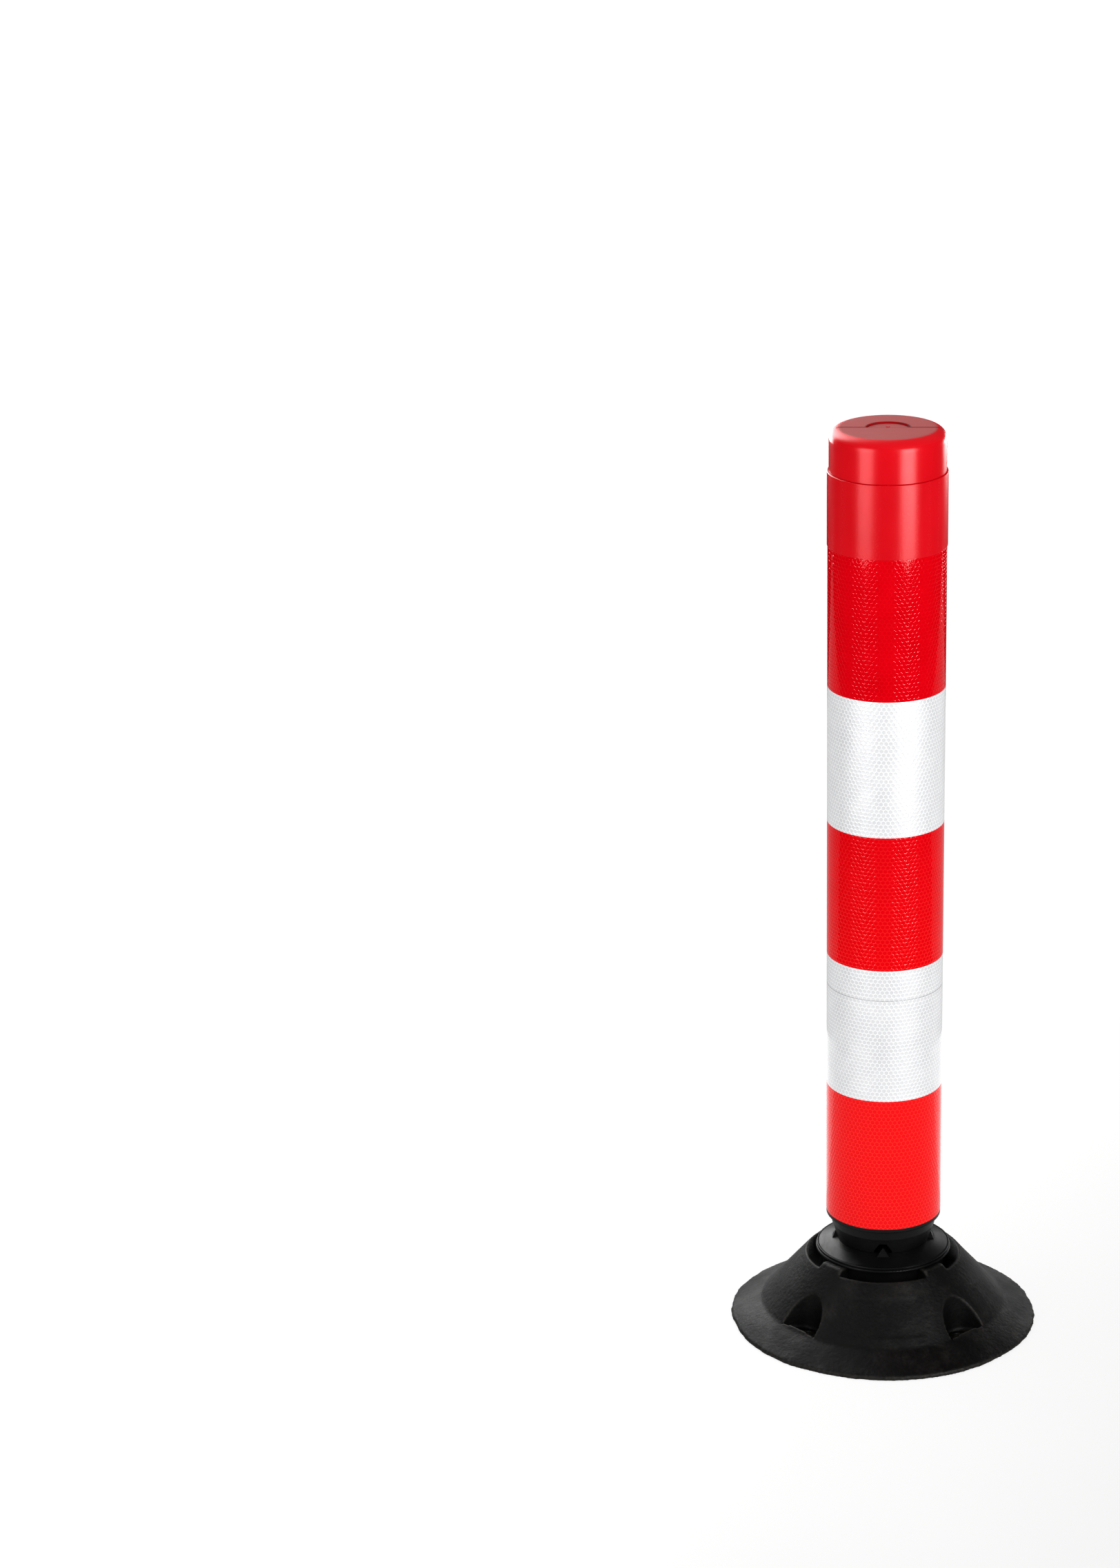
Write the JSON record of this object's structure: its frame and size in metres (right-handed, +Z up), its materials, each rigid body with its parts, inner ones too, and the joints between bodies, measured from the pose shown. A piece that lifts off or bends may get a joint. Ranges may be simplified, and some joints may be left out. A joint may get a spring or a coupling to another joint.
{
  "type": "delineator post",
  "caption": "Flexible red and white delineator post that tips over on an elastic tendon and rights itself on a bolt-down rubber base.",
  "frame": {"origin": "centre of the base's underside, on the ground plane", "axes": "+Z up along the post's axis; fixing holes at 45 degrees to X and Y; location fins on X and Y; front of the post faces -Y"},
  "size_m": [0.221, 0.221, 0.6702],
  "materials": {
    "base_rubber": "matte recycled rubber",
    "black_plastic": "semi-gloss moulded",
    "red_plastic": "satin moulded",
    "red_cap_plastic": "satin moulded, dusty crown",
    "red_sheeting": "retroreflective honeycomb sheeting",
    "white_sheeting": "retroreflective honeycomb sheeting",
    "zinc_steel": "zinc plated",
    "cord_rubber": "satin rubber cord"
  },
  "bodies": {
    "base": {"rubber_base": "base_rubber", "socket_collar": "black_plastic", "lock_ring": "black_plastic", "anchor_bush_1": "zinc_steel", "anchor_bush_2": "zinc_steel", "anchor_bush_3": "zinc_steel", "anchor_bush_4": "zinc_steel"},
    "tendon_foot": {"foot_washer": "zinc_steel", "foot_ferrule": "zinc_steel", "tendon_cord_1": "cord_rubber", "tendon_cord_2": "cord_rubber", "tendon_cord_3": "cord_rubber", "tendon_cord_4": "cord_rubber", "tendon_cord_5": "cord_rubber", "tendon_cord_6": "cord_rubber", "tendon_cord_7": "cord_rubber"},
    "tendon_head": {"head_ferrule": "zinc_steel", "head_washer": "zinc_steel", "tension_nut": "zinc_steel"},
    "post": {"post_plug": "black_plastic", "post_tube": "red_plastic", "sheet_red_lower": "red_sheeting", "sheet_white_lower": "white_sheeting", "sheet_white_splice": "white_sheeting", "sheet_red_middle": "red_sheeting", "sheet_white_upper": "white_sheeting", "sheet_red_upper": "red_sheeting", "top_cap": "red_cap_plastic"}
  },
  "joints": [
    {"name": "tip_direction", "type": "hinge", "parent": "base", "child": "tendon_foot", "pos_m": [0, 0, 0.0634], "axis": [0, 0, 1], "range_deg": [-180, 180]},
    {"name": "tip", "type": "hinge", "parent": "tendon_foot", "child": "tendon_head", "pos_m": [0.03243, 0, 0.06435], "axis": [0, 1, 0], "range_deg": [0, 85], "stiffness_Nm_per_rad": 4, "springref_deg": -57.3, "deforming": ["tendon_cord_1", "tendon_cord_2", "tendon_cord_3", "tendon_cord_4", "tendon_cord_5", "tendon_cord_6", "tendon_cord_7"]},
    {"name": "post_heading", "type": "hinge", "parent": "tendon_head", "child": "post", "pos_m": [0, 0, 0.0634], "axis": [0, 0, 1], "range_deg": [-180, 180]}
  ],
  "couplings": [
    {"joint": "post_heading", "follows": "tip_direction", "ratio": -1}
  ]
}
